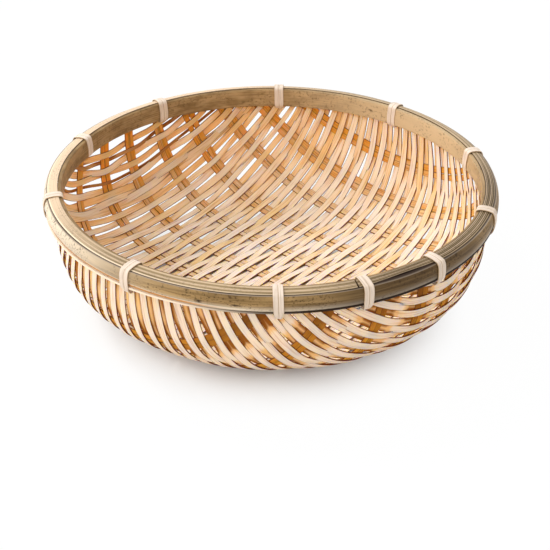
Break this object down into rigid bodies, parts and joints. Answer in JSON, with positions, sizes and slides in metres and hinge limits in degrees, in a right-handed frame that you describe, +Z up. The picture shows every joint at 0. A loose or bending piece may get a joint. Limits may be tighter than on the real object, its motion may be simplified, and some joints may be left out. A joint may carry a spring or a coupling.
{
  "type": "woven bamboo basket",
  "caption": "Shallow round basket woven from flat bamboo splints, with a hooped rim tied on with cane, for holding food or small things.",
  "frame": {"origin": "on the table under the middle of the bowl's floor", "axes": "+Z up, out of the bowl's mouth; +X to the right and -Y towards the viewer of the picture"},
  "size_m": [0.1998, 0.2022, 0.0571],
  "materials": {
    "hoop_skin": "satin bamboo skin, olive brown",
    "inner_skin": "satin split bamboo, brown",
    "cover_strip": "satin bamboo skin, olive",
    "cane": "satin split cane, cream",
    "pale_splint": "matt split bamboo, pale beige",
    "amber_splint": "matt split bamboo, amber"
  },
  "bodies": {
    "root": {"outer_hoop": "hoop_skin", "inner_hoop": "inner_skin", "rim_cover": "cover_strip", "lashing_01": "cane", "lashing_02": "cane", "lashing_03": "cane", "lashing_04": "cane", "lashing_05": "cane", "lashing_06": "cane", "lashing_07": "cane", "lashing_08": "cane", "lashing_09": "cane", "lashing_10": "cane", "lashing_11": "cane", "stake_01": "amber_splint", "stake_02": "amber_splint", "stake_03": "amber_splint", "stake_04": "amber_splint", "stake_05": "amber_splint", "stake_06": "amber_splint", "stake_07": "amber_splint", "stake_08": "amber_splint", "stake_09": "amber_splint", "stake_10": "amber_splint", "weft_01": "pale_splint", "weft_02": "pale_splint", "weft_03": "pale_splint", "weft_04": "pale_splint", "weft_05": "pale_splint", "weft_06": "pale_splint", "weft_07": "pale_splint", "weft_08": "pale_splint", "weft_09": "pale_splint", "weft_10": "pale_splint", "weft_11": "pale_splint", "weft_12": "pale_splint", "weft_13": "pale_splint", "weft_14": "pale_splint", "weft_15": "pale_splint", "weft_16": "pale_splint", "weft_17": "pale_splint", "weft_18": "pale_splint", "weft_19": "pale_splint", "weft_20": "pale_splint", "weft_21": "pale_splint", "weft_22": "pale_splint", "weft_23": "pale_splint", "weft_24": "pale_splint", "weft_25": "pale_splint", "weft_26": "pale_splint", "weft_27": "pale_splint", "weft_28": "pale_splint", "weft_29": "pale_splint", "weft_30": "pale_splint", "weft_31": "pale_splint", "weft_32": "pale_splint", "weft_33": "pale_splint", "weft_34": "pale_splint", "weft_35": "pale_splint"}
  },
  "joints": []
}
